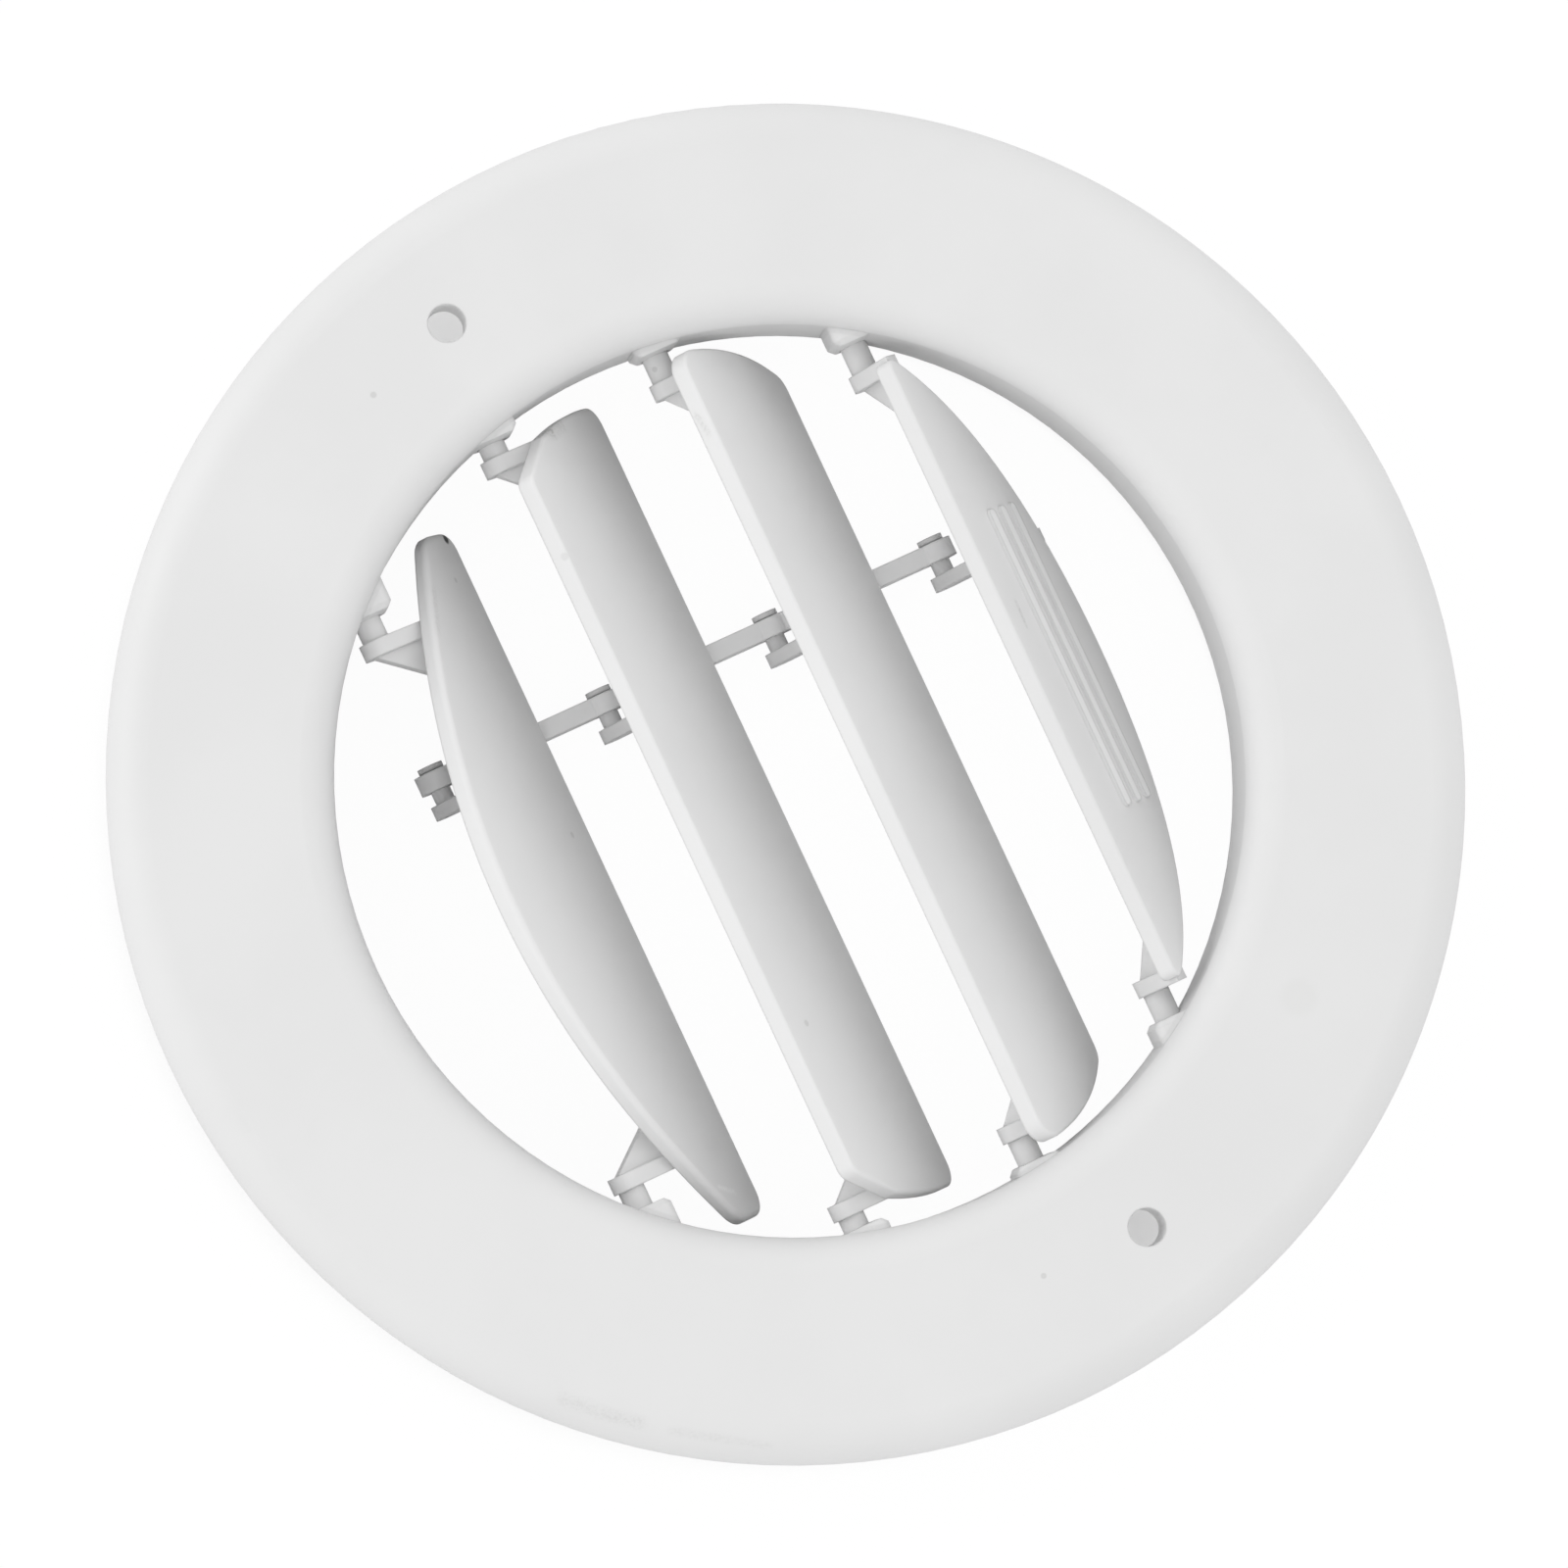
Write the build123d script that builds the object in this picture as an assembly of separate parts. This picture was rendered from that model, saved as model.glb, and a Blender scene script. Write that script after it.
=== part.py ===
from build123d import *
import math
import os

# Round ceiling air vent in white moulded plastic: a trim ring with a duct collar and
# pivot bosses, four tilting blades and the tie bar that gangs them.
# Millimetres. X runs across the blades, Y along them, Z out of the front face.
# The origin is the centre of the plane where the flange seats on the ceiling.

# Trim ring
flange_diameter = 178.0
flange_height = 6.0
flange_wall = 2.2
rim_round = 5.2
opening_diameter = 119.3
lip_roll = 4.6
lip_land = 9.5
collar_wall = 2.0
collar_depth = 25.5
collar_chamfer = 0.8
screw_circle = 148.0
screw_hole = 5.0
screw_boss_wall = 2.4
screw_angle = 12.85

# Pivots
pin_diameter = 3.6
pin_engagement = 3.0
pin_end_gap = 0.4
running_clearance = 0.08
boss_wall = 1.5
boss_reach = 0.8
boss_round = 1.2
boss_face_edge = 0.7
pivot_depth = 6.0

# Blades, drawn closed about their pivot axis
blade_count = 4
blade_pitch = 24.6
blade_width = 26.0
blade_lead = 6.7
blade_standoff = 6.65
blade_thickness = 2.3
blade_tail = 1.6
blade_crown = 1.0
section_over = 4.0
blade_corner = 3.0
array_shift = -4.1
plain_side_gap = 10.45
plain_arc = 75.0
plain_tip_gap = 10.05
plain_shoulder = 5.0
grip_side_gap = 11.2
grip_arc = 58.0
grip_tip_round = 1.2
end_gap = 2.85
cut_place = 49.6
cut_reach = 7.0
cut_round = 2.0
edge_round = [0.8, 0.5, 0.5, 0.5]
open_angle = 55.7

# Ears that carry the pivot pins
ear_gap = [2.8, 1.8, 3.4, 3.75]
ear_foot = [7.0, 4.3, 0.5, -4.2]
ear_thickness = 2.2
ear_radius = 2.4
ear_foot_width = 2.8
gusset_length = 8.0
gusset_thickness = 1.5

# Lugs and tie bar
lug_place = 16.4
lug_thickness = 1.9
lug_radius = 2.2
lug_base = 9.0
tie_inset = 5.4
tie_drop = 8.1
tie_pin_diameter = 2.7
tie_bar_gap = 1.8
tie_bar_thickness = 2.6
tie_bar_height = 4.0
tie_eye_radius = 2.6
tie_head_diameter = 3.5
tie_head_thickness = 0.7
tie_head_gap = 0.15

# Finger grip on the last blade
rib_count = 3
rib_pitch = 3.25
rib_width = 1.7
rib_height = 0.45
rib_length = 43.0
rib_start = 0.4

# Derived places
opening_radius = opening_diameter / 2
plain_reach = opening_radius - plain_side_gap
plain_half_length = opening_radius - plain_tip_gap
grip_reach = opening_radius - grip_side_gap
collar_inner = opening_radius + lip_roll
collar_outer = collar_inner + collar_wall
boss_radius = pin_diameter / 2 + running_clearance + boss_wall
boss_top = flange_height - lip_roll
blade_tail_x = blade_width - blade_lead
tie_reach = blade_tail_x - tie_inset
root_level = blade_standoff + blade_crown - blade_tail
pivot_x = [array_shift + (k - (blade_count - 1) / 2) * blade_pitch for k in range(blade_count)]
boss_face = [math.sqrt((opening_radius - boss_reach) ** 2 - x**2) for x in pivot_x]
tie_bar_place = lug_place + lug_thickness / 2 + tie_bar_gap
swing = math.radians(open_angle)
tie_x = tie_reach * math.cos(swing) - tie_drop * math.sin(swing)
tie_z = -tie_reach * math.sin(swing) - tie_drop * math.cos(swing)


def along_y(sketch, start, length):
    # a sketch drawn in X and Z, raised along +Y from start
    plane = Plane(origin=(0, start, 0), x_dir=(1, 0, 0), z_dir=(0, -1, 0))
    return extrude(plane * sketch, amount=-length)


def rod(diameter, x, z, start, length):
    return along_y(Pos(x, z) * Circle(diameter / 2), start, length)


def ring_section():
    # half section of the flange, the rolled lip and the collar, in X (radius) and Z
    rim = flange_diameter / 2
    rim_inner = rim - flange_wall
    under = flange_height - flange_wall
    lip_inner = opening_radius + flange_wall
    inner_roll = collar_inner - lip_inner
    with BuildSketch(Plane.XZ) as section:
        with BuildLine():
            Line((rim, 0), (rim, flange_height - rim_round))
            RadiusArc((rim, flange_height - rim_round), (rim - rim_round, flange_height), -rim_round)
            Line((rim - rim_round, flange_height), (collar_inner, flange_height))
            RadiusArc((collar_inner, flange_height), (opening_radius, boss_top), -lip_roll)
            Line((opening_radius, boss_top), (opening_radius, boss_top - lip_land))
            Line((opening_radius, boss_top - lip_land), (lip_inner, boss_top - lip_land))
            Line((lip_inner, boss_top - lip_land), (lip_inner, boss_top))
            RadiusArc((lip_inner, boss_top), (collar_inner, boss_top + inner_roll), inner_roll)
            Line((collar_inner, boss_top + inner_roll), (collar_inner, -collar_depth))
            Line((collar_inner, -collar_depth), (collar_outer - collar_chamfer, -collar_depth))
            Line((collar_outer - collar_chamfer, -collar_depth), (collar_outer, collar_chamfer - collar_depth))
            Line((collar_outer, collar_chamfer - collar_depth), (collar_outer, under))
            Line((collar_outer, under), (rim - rim_round, under))
            Line((rim - rim_round, under), (rim_inner, flange_height - rim_round))
            Line((rim_inner, flange_height - rim_round), (rim_inner, 0))
            Line((rim_inner, 0), (rim, 0))
        make_face()
    return section.sketch


def screw_places():
    turn = math.radians(90 + screw_angle)
    place = Vector(math.cos(turn), math.sin(turn), 0) * (screw_circle / 2)
    return [place, -place]


def pivot_boss(x, face):
    # rounded block from the lip down to the pivot, its face square to the pin
    depth = collar_outer - face
    body = Pos(x, -pivot_depth) * Circle(boss_radius)
    neck_height = boss_top + pivot_depth
    body += Pos(x, neck_height / 2 - pivot_depth) * Rectangle(2 * boss_radius, neck_height)
    block = along_y(fillet(body.vertices().group_by(Axis.Y)[-1], boss_round), face, depth)
    block = chamfer(block.faces().sort_by(Axis.Y)[0].edges(), boss_face_edge)
    ring_room = Pos(0, 0, -collar_depth) * Cylinder(
        collar_inner + collar_wall / 2, 2 * collar_depth, align=(Align.CENTER, Align.CENTER, Align.MIN)
    )
    # the bore starts ahead of the face, so that it also clears the lip skirt beside the boss
    bore_depth = pin_engagement + pin_end_gap + boss_radius
    bore = rod(pin_diameter + 2 * running_clearance, x, -pivot_depth, face - boss_radius, bore_depth)
    return block & ring_room, bore


def trim_ring():
    ring = revolve(ring_section(), axis=Axis.Z)
    for place in screw_places():
        height = flange_height - flange_wall / 2
        ring += Pos(place) * Cylinder(
            screw_hole / 2 + screw_boss_wall, height, align=(Align.CENTER, Align.CENTER, Align.MIN)
        )
    for place in screw_places():
        ring -= Pos(place) * Cylinder(screw_hole / 2, 4 * flange_height)
    for x, face in zip(pivot_x, boss_face):
        block, bore = pivot_boss(x, face)
        for side in (Plane.XZ, None):
            upper = block if side is None else mirror(block, about=Plane.XZ)
            hole = bore if side is None else mirror(bore, about=Plane.XZ)
            ring += upper
            ring -= hole
    return ring


def blade_section(raised=0.0):
    # crowned strip drawn past both edges: thickest at the leading edge, thinnest at the tail
    middle = blade_tail_x - blade_width / 2
    half = blade_width / 2 + section_over
    fall = blade_crown * (2 * half / blade_width) ** 2
    taper = (blade_thickness - blade_tail) / blade_width
    mean = (blade_thickness + blade_tail) / 2
    top = blade_standoff + blade_crown
    first = (middle - half, top - fall + raised)
    last = (middle + half, top - fall + raised)
    under_first = (middle - half, top - fall - mean - taper * half)
    under_last = (middle + half, top - fall - mean + taper * half)
    with BuildSketch(Plane.XY) as section:
        with BuildLine():
            ThreePointArc(first, (middle, top + raised), last)
            Line(last, under_last)
            ThreePointArc(under_last, (middle, top - mean), under_first)
            Line(under_first, first)
        make_face()
    return section.sketch


def strip_plan(first, last, half_length):
    return Pos((first + last) / 2, 0) * Rectangle(last - first, 2 * half_length)


def plain_end_plan(x):
    # curved outer edge, blunt rounded tips
    tail = x + blade_tail_x
    outline = Pos(plain_arc - plain_reach, 0) * Circle(plain_arc)
    plan = outline & strip_plan(-plain_reach - blade_width, tail, plain_half_length)
    plan = fillet(plan.vertices().group_by(Axis.X)[-1], blade_corner)
    return fillet(plan.vertices().group_by(Axis.X)[0], plain_shoulder)


def cut_corner_plan(x):
    # front corners cut back beside the bosses
    lead = x - blade_lead
    plan = Circle(opening_radius - end_gap) & strip_plan(lead, x + blade_tail_x, opening_radius)
    plan = fillet(plan.vertices().group_by(Axis.X)[-1], blade_corner)
    rise = math.sqrt((opening_radius - end_gap) ** 2 - (lead + cut_reach) ** 2)
    for side in (1, -1):
        corner = Polygon(
            (lead - cut_reach, side * (2 * cut_place - rise)),
            (lead + cut_reach, side * rise),
            (lead + cut_reach, side * 2 * rise),
            (lead - cut_reach, side * 2 * rise),
            align=None,
        )
        plan -= corner
    return fillet(plan.vertices().group_by(Axis.X)[0], cut_round)


def full_tip_plan(x):
    plan = Circle(opening_radius - end_gap) & strip_plan(x - blade_lead, x + blade_tail_x, opening_radius)
    return fillet(plan.vertices(), blade_corner)


def grip_end_plan(x):
    # curved outer edge that meets the leading edge in narrow tips
    outline = Pos(grip_reach - grip_arc, 0) * Circle(grip_arc)
    plan = outline & strip_plan(x - blade_lead, grip_reach + blade_width, opening_radius)
    return fillet(plan.vertices().group_by(Axis.X)[0], grip_tip_round)


def ear(place, foot, gap):
    # arm from the pivot up into the blade, with its gusset and pin, on the +Y side
    arm = Circle(ear_radius) + Pos(foot, root_level) * Rectangle(ear_foot_width, 0.2)
    inner = place - ear_thickness
    plate = along_y(make_hull(arm.edges()), inner, ear_thickness)
    length = math.hypot(foot, root_level)
    lean = Plane(origin=(0, inner, 0), x_dir=(foot, 0, root_level), z_dir=(root_level, 0, -foot))
    rib = Polygon((-ear_radius / 2, 0), (length, 0), (length, gusset_length), align=None)
    gusset = extrude(lean * rib, amount=gusset_thickness / 2, both=True)
    pin = rod(pin_diameter, 0, 0, place, gap + pin_engagement)
    return plate + gusset + pin


def lug():
    # arm behind the blade that carries the tie pin
    arm = Pos(tie_reach, -tie_drop) * Circle(lug_radius)
    arm += Pos(tie_reach - lug_radius, root_level) * Rectangle(lug_base, 0.2)
    plate = along_y(make_hull(arm.edges()), lug_place - lug_thickness / 2, lug_thickness)
    face = lug_place + lug_thickness / 2
    length = tie_bar_gap + tie_bar_thickness + tie_head_gap
    plate += rod(tie_pin_diameter, tie_reach, -tie_drop, face, length)
    plate += rod(tie_head_diameter, tie_reach, -tie_drop, face + length, tie_head_thickness)
    return plate


def grip_ribs():
    # low ribs that follow the crown of the blade
    slots = []
    for k in range(rib_count):
        slots.append(Pos(rib_start + k * rib_pitch, 0) * SlotOverall(rib_length, rib_width, rotation=90))
    raised = along_y(blade_section(rib_height), -rib_length, 2 * rib_length)
    return [raised & extrude(Pos(0, 0, root_level) * slot, amount=2 * blade_standoff) for slot in slots]


def blade(index, plan):
    x = pivot_x[index]
    length = 2 * opening_diameter
    strip = along_y(blade_section(), -length / 2, length)
    height = 4 * blade_standoff
    prism = extrude(Pos(-x, 0, -height / 2) * plan(x), amount=height)
    # turned to its open place before the front edges are rounded
    seat = Pos(x, 0, -pivot_depth) * Rot(0, open_angle, 0)
    body = seat * (strip & prism)
    front = body.faces().sort_by(SortBy.AREA)[-2:].sort_by(Axis.Z)[-1]
    body = fillet(front.edges(), edge_round[index])
    gap = ear_gap[index]
    arm = ear(boss_face[index] - gap, ear_foot[index], gap)
    body += seat * arm
    body += seat * mirror(arm, about=Plane.XZ)
    body += seat * lug()
    if index == blade_count - 1:
        for rib in grip_ribs():
            body += seat * rib
    return body


def tie_bar():
    span = (blade_count - 1) * blade_pitch
    centre_x = array_shift + tie_x
    centre_z = tie_z - pivot_depth
    strip = Pos(centre_x, centre_z) * Rectangle(span, tie_bar_height)
    for x in pivot_x:
        strip += Pos(x + tie_x, centre_z) * Circle(tie_eye_radius)
    for x in pivot_x:
        strip -= Pos(x + tie_x, centre_z) * Circle(tie_pin_diameter / 2 + running_clearance)
    return along_y(strip, tie_bar_place, tie_bar_thickness)


os.makedirs("parts", exist_ok=True)
export_step(trim_ring(), "parts/trim_ring.step")
export_step(blade(0, plain_end_plan), "parts/plain_end_blade.step")
export_step(blade(1, cut_corner_plan), "parts/left_middle_blade.step")
export_step(blade(2, full_tip_plan), "parts/right_middle_blade.step")
export_step(blade(3, grip_end_plan), "parts/grip_end_blade.step")
export_step(tie_bar(), "parts/tie_bar.step")
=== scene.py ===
import math
import bpy
from mathutils import Matrix, Vector


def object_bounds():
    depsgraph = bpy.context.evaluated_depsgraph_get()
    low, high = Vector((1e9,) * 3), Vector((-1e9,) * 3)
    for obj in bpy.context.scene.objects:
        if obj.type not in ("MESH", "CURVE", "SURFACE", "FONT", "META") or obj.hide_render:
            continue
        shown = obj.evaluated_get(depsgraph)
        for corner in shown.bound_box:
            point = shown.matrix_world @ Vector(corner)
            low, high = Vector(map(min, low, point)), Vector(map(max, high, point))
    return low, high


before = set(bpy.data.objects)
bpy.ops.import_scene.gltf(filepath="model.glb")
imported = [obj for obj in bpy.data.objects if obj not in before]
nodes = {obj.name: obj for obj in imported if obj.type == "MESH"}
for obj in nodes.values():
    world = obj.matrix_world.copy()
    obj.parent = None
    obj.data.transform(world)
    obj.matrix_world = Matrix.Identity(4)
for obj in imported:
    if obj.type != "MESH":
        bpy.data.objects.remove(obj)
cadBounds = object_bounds()
scene = bpy.context.scene
print("stage: frame loaded", sorted(nodes))


def mm(value):
    # millimetres to metres, for one number or a place
    return value / 1000 if isinstance(value, (int, float)) else Vector(value) / 1000


def addNode(tree, kind, **settings):
    made = tree.nodes.new(kind)
    for key, value in settings.items():
        setattr(made, key, value)
    return made


def feed(tree, socket, value):
    # a socket takes another socket's output or a plain value
    if isinstance(value, bpy.types.NodeSocket):
        tree.links.new(value, socket)
    else:
        socket.default_value = value


def maths(tree, operation, *values, clamp=False):
    step = addNode(tree, "ShaderNodeMath", operation=operation, use_clamp=clamp)
    for socket, value in zip(step.inputs, values):
        feed(tree, socket, value)
    return step.outputs["Value"]


def vectors(tree, operation, *values):
    # one vector step; a distance, length or dot product comes out as a number
    step = addNode(tree, "ShaderNodeVectorMath", operation=operation)
    for socket, value in zip(step.inputs, values):
        feed(tree, socket, value)
    single = operation in ("DISTANCE", "LENGTH", "DOT_PRODUCT")
    return step.outputs["Value" if single else "Vector"]


def ramp(tree, value, low, high, outLow=0.0, outHigh=1.0):
    # smooth step from outLow to outHigh while the value goes from low to high
    step = addNode(tree, "ShaderNodeMapRange", interpolation_type="SMOOTHSTEP", clamp=True)
    names = ("Value", "From Min", "From Max", "To Min", "To Max")
    for name, given in zip(names, (value, low, high, outLow, outHigh)):
        feed(tree, step.inputs[name], given)
    return step.outputs["Result"]


def fade(tree, value, low, high, strength=1.0):
    return ramp(tree, value, low, high, strength, 0.0)


def noise(tree, coords, scale, detail=3.0, roughness=0.55):
    step = addNode(tree, "ShaderNodeTexNoise")
    names = ("Vector", "Scale", "Detail", "Roughness")
    for name, given in zip(names, (coords, scale, detail, roughness)):
        feed(tree, step.inputs[name], given)
    return step.outputs["Fac"]


mixColorIn = (6, 7)  # the mix node's two colour inputs
mixColorOut = 2


def blendColor(tree, factor, first, second):
    step = addNode(tree, "ShaderNodeMix", data_type="RGBA")
    feed(tree, step.inputs["Factor"], factor)
    for index, value in zip(mixColorIn, (first, second)):
        feed(tree, step.inputs[index], (*value, 1.0) if isinstance(value, tuple) else value)
    return step.outputs[mixColorOut]


def toned(color, share):
    return tuple(v * share for v in color)


def axisDistance(tree, coords):
    # distance from the vent's axis
    return vectors(tree, "LENGTH", vectors(tree, "MULTIPLY", coords, (1.0, 1.0, 0.0)))


markFade = {"spotCore": 0.5, "streakCore": 0.6}  # share of a mark's radius or half length at full strength


def nearPoint(tree, coords, place, radius):
    # 1 in the core of a small ball about the place, 0 at its radius
    away = vectors(tree, "DISTANCE", coords, mm(place))
    return fade(tree, away, mm(radius) * markFade["spotCore"], mm(radius))


def nearLine(tree, coords, start, end, width):
    # 1 along a short streak between two places, dying out to its sides and ends
    run = mm(end) - mm(start)
    half = run.length / 2
    offset = vectors(tree, "SUBTRACT", coords, (mm(start) + mm(end)) / 2)
    side = vectors(tree, "LENGTH", vectors(tree, "CROSS_PRODUCT", offset, run.normalized()))
    along = maths(tree, "ABSOLUTE", vectors(tree, "DOT_PRODUCT", offset, run.normalized()))
    ends = fade(tree, along, half * markFade["streakCore"], half)
    return maths(tree, "MULTIPLY", fade(tree, side, 0.0, mm(width)), ends)


plasticTexture = {
    "mottleScale": 38.0,
    "mottleSpan": (0.35, 0.7),
    "flowScale": 9.0,
    "flowSpan": (0.45, 0.75),
    "flowShare": 0.5,
    "flowTone": 0.965,
    "sheenScale": 120.0,
    "sheenSpan": (0.3, 0.7),
    "sheenRange": (-0.04, 0.05),
    "scuffScale": 2400.0,
    "scuffSpan": (0.40, 0.66),
    "scuffLeast": 0.3,  # share of a scuff between its darker grains
    "scuffRough": 0.3,
    "grainScale": 1500.0,
    "waveScale": 160.0,
    "waveShare": 2.0,
    "grainDepth": 0.04,  # mm
    "index": 1.46,
    "edgeSamples": 4,
}


def bodyTone(tree, coords, look):
    # base colour with faint mottling and a slow flow tone from the mould
    base = look["color"]
    spread = noise(tree, coords, plasticTexture["mottleScale"], detail=4.0)
    spread = ramp(tree, spread, *plasticTexture["mottleSpan"])
    color = blendColor(tree, spread, base, toned(base, look["mottle"]))
    drawn = vectors(tree, "MULTIPLY", coords, look["flow"])
    flow = noise(tree, drawn, plasticTexture["flowScale"], detail=2.0, roughness=0.5)
    flow = ramp(tree, flow, *plasticTexture["flowSpan"], 0.0, plasticTexture["flowShare"])
    return blendColor(tree, flow, color, toned(base, plasticTexture["flowTone"]))


def sheen(tree, coords, look):
    less, more = plasticTexture["sheenRange"]
    spread = noise(tree, coords, plasticTexture["sheenScale"])
    return ramp(tree, spread, *plasticTexture["sheenSpan"], look["rough"] + less, look["rough"] + more)


def wear(tree, coords, color, rough, look):
    # specks, then scuffs broken up by a fine grain, which also dull the surface
    for place, radius, strength, tint in look["spots"]:
        mask = maths(tree, "MULTIPLY", nearPoint(tree, coords, place, radius), strength)
        color = blendColor(tree, mask, color, tint)
    for start, end, width, strength, tint in look["scuffs"]:
        streak = nearLine(tree, coords, start, end, width)
        broken = noise(tree, coords, plasticTexture["scuffScale"], detail=4.0, roughness=0.6)
        broken = ramp(tree, broken, *plasticTexture["scuffSpan"], plasticTexture["scuffLeast"])
        mask = maths(tree, "MULTIPLY", maths(tree, "MULTIPLY", streak, broken), strength)
        color = blendColor(tree, mask, color, tint)
        dulled = maths(tree, "MULTIPLY", mask, plasticTexture["scuffRough"])
        rough = maths(tree, "ADD", rough, dulled, clamp=True)
    return color, rough


def landPaintedShade(tree, coords, color, land):
    # painted shade: the upright wall under the rolled lip is toned grey where the lip shades it
    split = addNode(tree, "ShaderNodeSeparateXYZ")
    feed(tree, split.inputs["Vector"], coords)
    radius = axisDistance(tree, coords)
    inner, outer, top = [[mm(v) for v in land[key]] for key in ("inner", "outer", "top")]
    wall = maths(tree, "MULTIPLY", ramp(tree, radius, *inner), fade(tree, radius, *outer))
    below = fade(tree, split.outputs["Z"], *top, land["strength"])
    return blendColor(tree, maths(tree, "MULTIPLY", wall, below), color, land["tint"])


def ribPaintedHighlightAndShade(tree, coords, color, ribs):
    # finger ribs: a painted highlight on each top, painted shade in the groove on the shadow side beside
    # each
    turn = math.radians(ribs["turn"])
    offset = vectors(tree, "SUBTRACT", coords, mm(ribs["pivot"]))
    reach = vectors(tree, "DOT_PRODUCT", offset, (math.cos(turn), 0.0, -math.sin(turn)))
    split = addNode(tree, "ShaderNodeSeparateXYZ")
    feed(tree, split.inputs["Vector"], coords)
    half = mm(ribs["length"]) / 2
    length = fade(tree, maths(tree, "ABSOLUTE", split.outputs["Y"]), half - mm(ribs["endFade"]), half)
    for k in range(ribs["count"]):
        middle = ribs["start"] + k * ribs["pitch"]
        for shift, span, strength, tint in (ribs["top"], ribs["groove"]):
            across = maths(tree, "ABSOLUTE", maths(tree, "SUBTRACT", reach, mm(middle + shift)))
            band = fade(tree, across, mm(span[0]), mm(span[1]), strength)
            color = blendColor(tree, maths(tree, "MULTIPLY", band, length), color, tint)
    return color


def surfaceNormal(tree, coords, look):
    # fine grain over a slow wave, on edges softened as in a mould
    fine = noise(tree, coords, plasticTexture["grainScale"], detail=2.0)
    wave = noise(tree, coords, plasticTexture["waveScale"], detail=2.0)
    height = maths(tree, "ADD", fine, maths(tree, "MULTIPLY", wave, plasticTexture["waveShare"]))
    soft = addNode(tree, "ShaderNodeBevel", samples=plasticTexture["edgeSamples"])
    soft.inputs["Radius"].default_value = mm(look["edge"])
    grain = addNode(tree, "ShaderNodeBump")
    grain.inputs["Strength"].default_value = look["grain"]
    grain.inputs["Distance"].default_value = mm(plasticTexture["grainDepth"])
    feed(tree, grain.inputs["Height"], height)
    feed(tree, grain.inputs["Normal"], soft.outputs["Normal"])
    return grain.outputs["Normal"]


def plastic(name, look):
    # moulded white plastic with the marks listed for the piece
    mat = bpy.data.materials.new(name)
    mat.use_nodes = True
    tree = mat.node_tree
    shader = tree.nodes["Principled BSDF"]
    coords = addNode(tree, "ShaderNodeTexCoord").outputs["Object"]
    color = bodyTone(tree, coords, look)
    color, rough = wear(tree, coords, color, sheen(tree, coords, look), look)
    if "land" in look:
        color = landPaintedShade(tree, coords, color, look["land"])
    if "ribs" in look:
        color = ribPaintedHighlightAndShade(tree, coords, color, look["ribs"])
    feed(tree, shader.inputs["Base Color"], color)
    feed(tree, shader.inputs["Roughness"], rough)
    feed(tree, shader.inputs["Normal"], surfaceNormal(tree, coords, look))
    shader.inputs["IOR"].default_value = plasticTexture["index"]
    shader.inputs["Specular IOR Level"].default_value = look["gloss"]
    return mat


def dress(node, look):
    # the piece's own material in every slot
    piece = nodes[node]
    made = plastic(node + "_plastic", look)
    if not piece.data.materials:
        piece.data.materials.append(made)
    for slot in piece.material_slots:
        slot.link = "OBJECT"
        slot.material = made


# spots: place, radius, strength, tint; scuffs: start, end, width, strength, tint; lengths in mm
ringLook = {
    "color": (0.785, 0.785, 0.785),
    "mottle": 0.975,
    "flow": (1.0, 1.0, 0.4),
    "rough": 0.44,
    "gloss": 0.35,
    "grain": 0.10,
    "edge": 0.4,
    # painted shade on the upright wall under the lip, toned grey in the colour
    "land": {
        "inner": (58.8, 59.1),  # radii, then heights, over which the painted shade fades
        "outer": (60.1, 60.5),
        "top": (1.2, 2.0),
        "strength": 0.32,
        "tint": (0.60, 0.60, 0.60),
    },
    "spots": [
        ((-29.11, 67.57, 6.0), 0.55, 0.35, (0.42, 0.42, 0.41)),
        ((1.48, -72.12, 6.0), 0.5, 0.35, (0.45, 0.45, 0.44)),
        ((47.4, -53.6, 6.0), 3.2, 0.12, (0.62, 0.62, 0.60)),  # dull spot
    ],
    "scuffs": [
        ((-62.6, -59.0, 5.5), (-56.8, -64.9, 5.4), 1.7, 0.24, (0.50, 0.50, 0.49)),
        ((-58.2, -63.6, 5.4), (-52.8, -67.9, 5.45), 1.5, 0.28, (0.48, 0.48, 0.47)),
        ((-51.6, -69.0, 5.4), (-43.6, -74.4, 5.35), 1.1, 0.22, (0.52, 0.52, 0.51)),
        ((-45.0, -73.5, 5.4), (-39.2, -77.4, 5.1), 1.0, 0.18, (0.52, 0.52, 0.51)),
    ],
}
dress("trim_ring", ringLook)

bladeFinishAndPaintedLight = {
    # the plastic's white, raised above the ring's as painted light on the blades deep in the opening
    "color": (0.835, 0.835, 0.835),
    "mottle": 0.97,
    "flow": (0.6, 0.2, 0.6),
    "rough": 0.47,
    "gloss": 0.32,
    "grain": 0.10,
    "edge": 0.4,
}

plainEndLook = {
    **bladeFinishAndPaintedLight,
    "spots": [
        ((-25.85, 48.6, -15.8), 0.9, 0.95, (0.02, 0.02, 0.02)),  # black speck on the tip
        ((-27.61, 5.94, -12.52), 0.6, 0.3, (0.42, 0.42, 0.41)),
        ((-27.28, 42.88, -13.09), 0.5, 0.3, (0.42, 0.42, 0.41)),
    ],
    "scuffs": [
        ((-30.9, 43.6, -7.6), (-33.7, 36.0, -3.2), 0.9, 0.3, (0.55, 0.55, 0.54)),
        ((-30.6, -43.8, -7.8), (-27.9, -45.8, -12.0), 0.6, 0.9, (0.96, 0.96, 0.96)),  # pale scratch
    ],
}
dress("plain_end_blade", plainEndLook)

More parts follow.
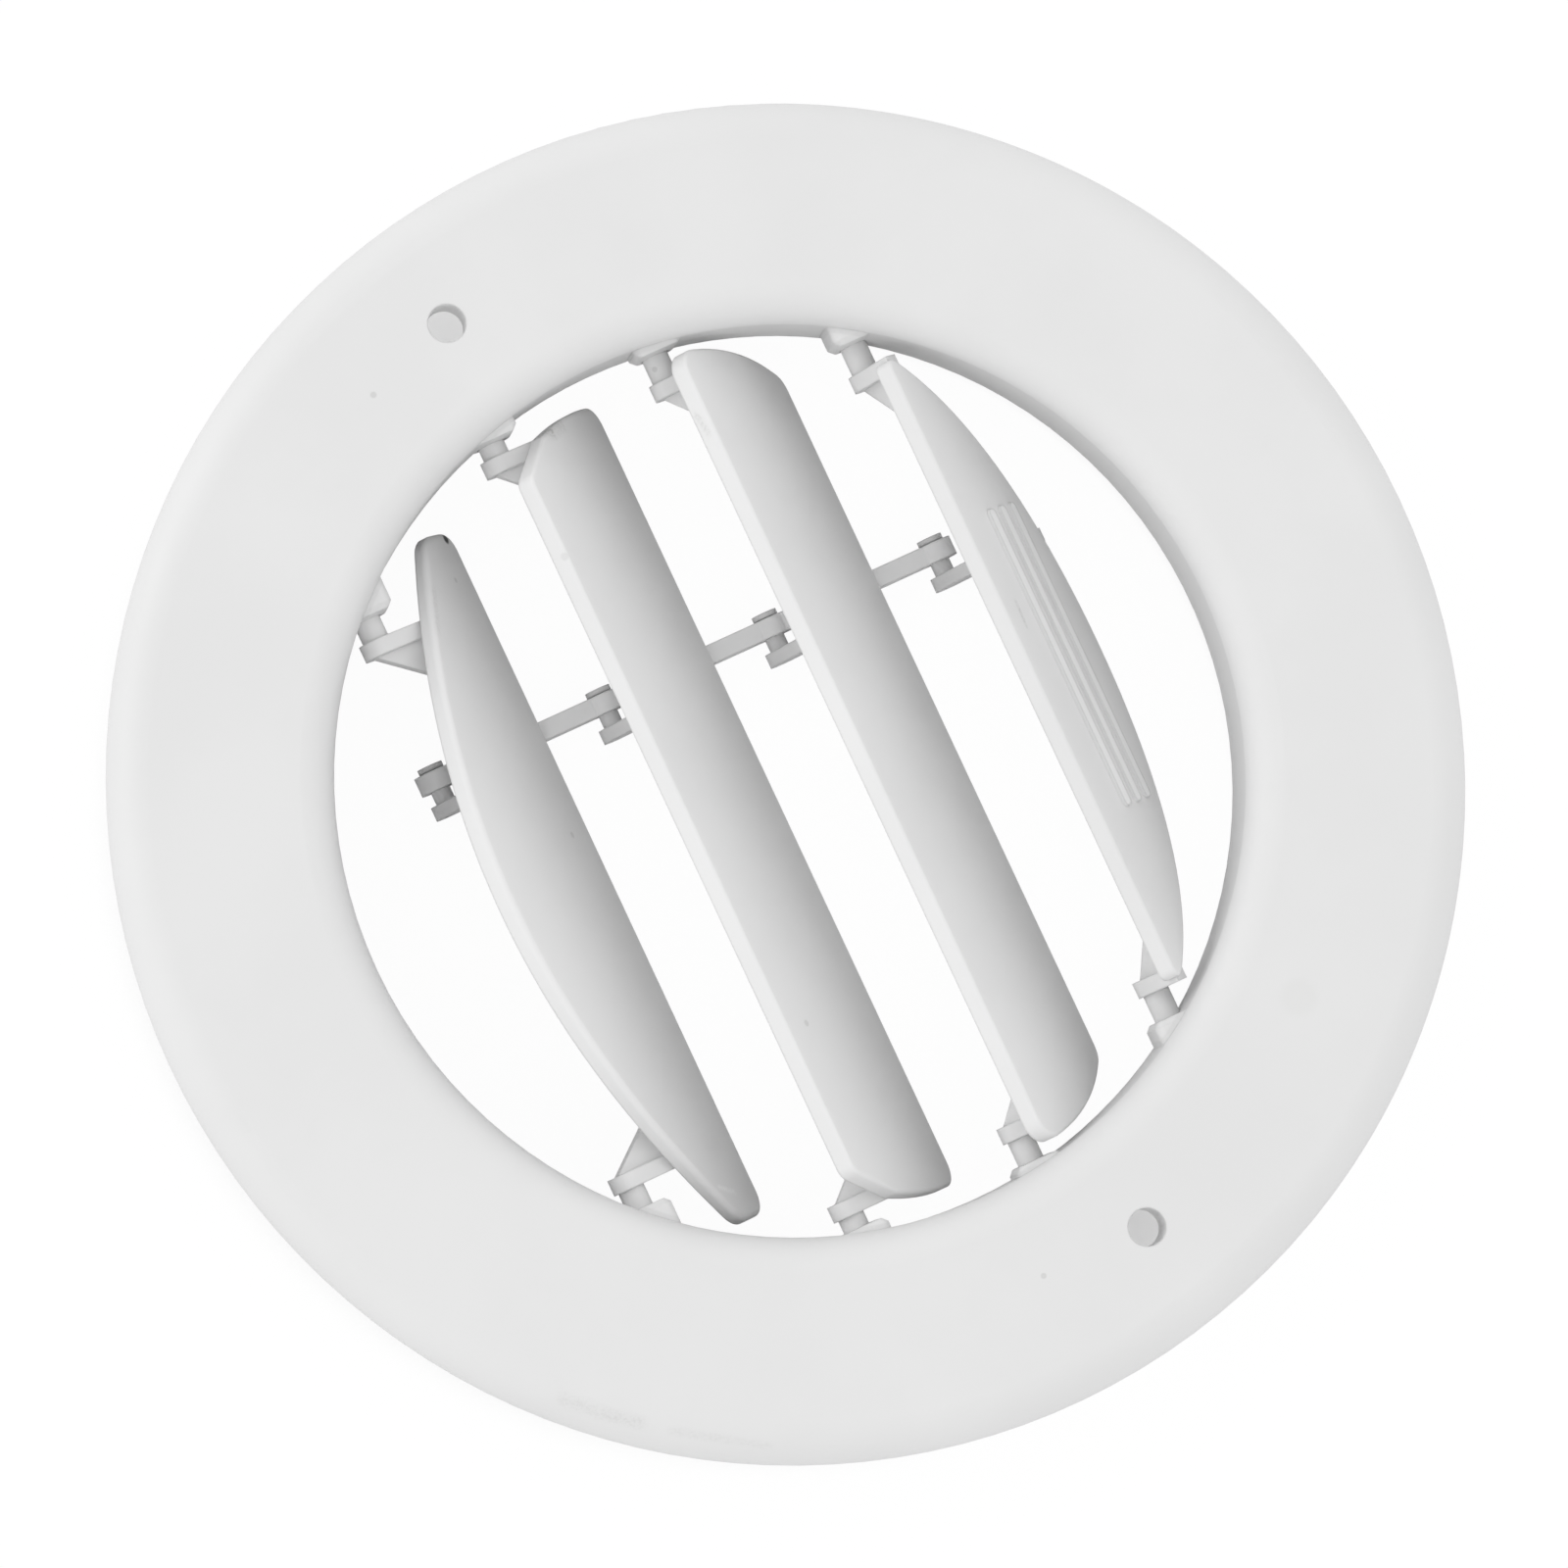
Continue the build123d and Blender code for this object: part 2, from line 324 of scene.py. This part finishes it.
leftMiddleLook = {
    **bladeFinishAndPaintedLight,
    "spots": [
        ((-11.75, -29.56, 0.0), 0.6, 0.3, (0.42, 0.42, 0.41)),
        ((-15.05, 38.5, 3.03), 0.7, 0.22, (0.50, 0.50, 0.49)),
    ],
    "scuffs": [
        ((-11.6, 54.5, -3.2), (-8.2, 55.0, -4.6), 1.9, 0.85, (0.34, 0.34, 0.33)),  # smudge by the ear
        ((-9.6, 54.4, -4.0), (-5.9, 55.4, -7.4), 1.6, 0.4, (0.44, 0.44, 0.43)),
    ],
}
dress("left_middle_blade", leftMiddleLook)

rightMiddleLook = {
    **bladeFinishAndPaintedLight,
    "spots": [((7.26, 56.63, -4.47), 0.5, 0.3, (0.40, 0.40, 0.39))],
    "scuffs": [((8.5, 49.0, 2.4), (9.1, 44.6, 2.7), 0.7, 0.4, (0.52, 0.52, 0.51))],
}
dress("right_middle_blade", rightMiddleLook)

gripEndLook = {
    **bladeFinishAndPaintedLight,
    "color": (0.80, 0.80, 0.80),
    "rough": 0.48,
    "grain": 0.11,
    "spots": [],
    "scuffs": [((36.8, 9.6, 0.8), (36.6, 4.6, 0.95), 0.5, 0.45, (0.40, 0.40, 0.39))],
    # the ribs' tops get a painted highlight and the groove beside each a painted shade
    "ribs": {
        "pivot": (32.8, 0.0, -6.0),
        "turn": 55.7,
        "count": 3,
        "start": 0.4,
        "pitch": 3.25,
        "length": 43.2,
        "endFade": 0.6,
        "top": (0.0, (0.4, 0.9), 0.55, (0.95, 0.95, 0.95)),  # shift, span, strength, tint
        "groove": (1.25, (0.1, 0.7), 0.5, (0.58, 0.58, 0.57)),
    },
}
dress("grip_end_blade", gripEndLook)

tieBarLook = {
    # the plastic's white, raised further as painted light on the deep-lying bar
    "color": (0.90, 0.90, 0.90),
    "mottle": 0.96,
    "flow": (0.3, 1.0, 1.0),
    "rough": 0.5,
    "gloss": 0.3,
    "grain": 0.10,
    "edge": 0.4,
    "spots": [],
    "scuffs": [],
}
dress("tie_bar", tieBarLook)
print("stage: pieces dressed")

floorLook = {
    "halfSpan": 6.0,
    "drop": 0.2,  # mm below the collar's rim
    "tones": ((0.86, 0.86, 0.86), (0.84, 0.84, 0.84)),
    "toneScale": 30.0,
    "rough": 0.9,
    "gloss": 0.1,
    "glow": 1.02,
    "glowShare": 0.94,  # the rest shows the shadow
    "shadeInner": (62.0, 69.0),  # ring under the flange, mm
    "shadeOuter": (77.0, 91.0),
    "shadeShare": 0.78,
}


def floorPaper(look):
    # glows near white for the camera, less in a ring under the flange, so the screw holes look down on grey
    mat = bpy.data.materials.new("floorPaper")
    mat.use_nodes = True
    tree = mat.node_tree
    paper = tree.nodes["Principled BSDF"]
    coords = addNode(tree, "ShaderNodeTexCoord").outputs["Object"]
    tone = noise(tree, coords, look["toneScale"])
    feed(tree, paper.inputs["Base Color"], blendColor(tree, tone, *look["tones"]))
    paper.inputs["Roughness"].default_value = look["rough"]
    paper.inputs["Specular IOR Level"].default_value = look["gloss"]
    glow = addNode(tree, "ShaderNodeEmission")
    glow.inputs["Color"].default_value = (1.0, 1.0, 1.0, 1.0)
    glow.inputs["Strength"].default_value = look["glow"]
    radius = axisDistance(tree, coords)
    shade = ramp(tree, radius, *[mm(v) for v in look["shadeInner"]])
    shade = maths(tree, "MULTIPLY", shade, fade(tree, radius, *[mm(v) for v in look["shadeOuter"]]))
    share = maths(tree, "SUBTRACT", look["glowShare"], maths(tree, "MULTIPLY", shade, look["shadeShare"]))
    seen = addNode(tree, "ShaderNodeLightPath").outputs["Is Camera Ray"]
    mixer = addNode(tree, "ShaderNodeMixShader")
    feed(tree, mixer.inputs["Fac"], maths(tree, "MULTIPLY", seen, share))
    tree.links.new(paper.outputs["BSDF"], mixer.inputs[1])
    tree.links.new(glow.outputs["Emission"], mixer.inputs[2])
    tree.links.new(mixer.outputs["Shader"], tree.nodes["Material Output"].inputs["Surface"])
    return mat


def makeFloor(look):
    mesh = bpy.data.meshes.new("floor")
    level = cadBounds[0].z - mm(look["drop"])
    signs = ((-1, -1), (1, -1), (1, 1), (-1, 1))
    corners = [(x * look["halfSpan"], y * look["halfSpan"], level) for x, y in signs]
    mesh.from_pydata(corners, [], [(0, 1, 2, 3)])
    mesh.materials.append(floorPaper(look))
    floor = bpy.data.objects.new("floor", mesh)
    scene.collection.objects.link(floor)


makeFloor(floorLook)
print("stage: floor")

# the photo's view, about nine degrees off the vent's axis
photoView = {
    "axis": (-0.1481, -0.0397, 0.98818),
    "right": (0.89834, -0.42315, 0.11763),
    "away": 1.0,
    "framePixels": 1600,
    "focalPixels": 7836.0,
    "shiftPixels": (-7.68, -4.48),
    "sensor": 36.0,
    "clip": (0.01, 50.0),
}
viewAxis = Vector(photoView["axis"]).normalized()
viewRight = Vector(photoView["right"]).normalized()
viewUp = viewAxis.cross(viewRight)


def makeCamera(view):
    camData = bpy.data.cameras.new("photoCamera")
    camData.sensor_width = view["sensor"]
    camData.lens = view["focalPixels"] / view["framePixels"] * view["sensor"]
    camData.shift_x, camData.shift_y = [v / view["framePixels"] for v in view["shiftPixels"]]
    camData.clip_start, camData.clip_end = view["clip"]
    cam = bpy.data.objects.new("photoCamera", camData)
    scene.collection.objects.link(cam)
    turn = Matrix((viewRight, viewUp, viewAxis)).transposed().to_4x4()
    cam.matrix_world = Matrix.Translation(viewAxis * view["away"]) @ turn
    scene.camera = cam


makeCamera(photoView)
print("stage: camera")

studio = {
    "keyPlace": (-1.3, 0.5, 0.7),  # metres to the photo's right, up and towards the camera
    "keySize": 0.9,
    "keyPower": 3.7,
    "sky": 0.968,
}


def lightStudio(light):
    right, up, forward = light["keyPlace"]
    place = viewRight * right + viewUp * up + viewAxis * forward
    lamp = bpy.data.lights.new("keyLight", "AREA")
    lamp.shape = "SQUARE"
    lamp.size = light["keySize"]
    lamp.energy = light["keyPower"]
    key = bpy.data.objects.new("keyLight", lamp)
    scene.collection.objects.link(key)
    key.location = place
    key.rotation_mode = "QUATERNION"
    key.rotation_quaternion = (-place).to_track_quat("-Z", "Y")
    world = bpy.data.worlds.new("studio")
    world.use_nodes = True
    sky = world.node_tree.nodes["Background"]
    sky.inputs["Color"].default_value = (1.0, 1.0, 1.0, 1.0)
    sky.inputs["Strength"].default_value = light["sky"]
    scene.world = world
    scene.view_settings.view_transform = "Standard"


lightStudio(studio)
print("stage: light")

print("stage: done")
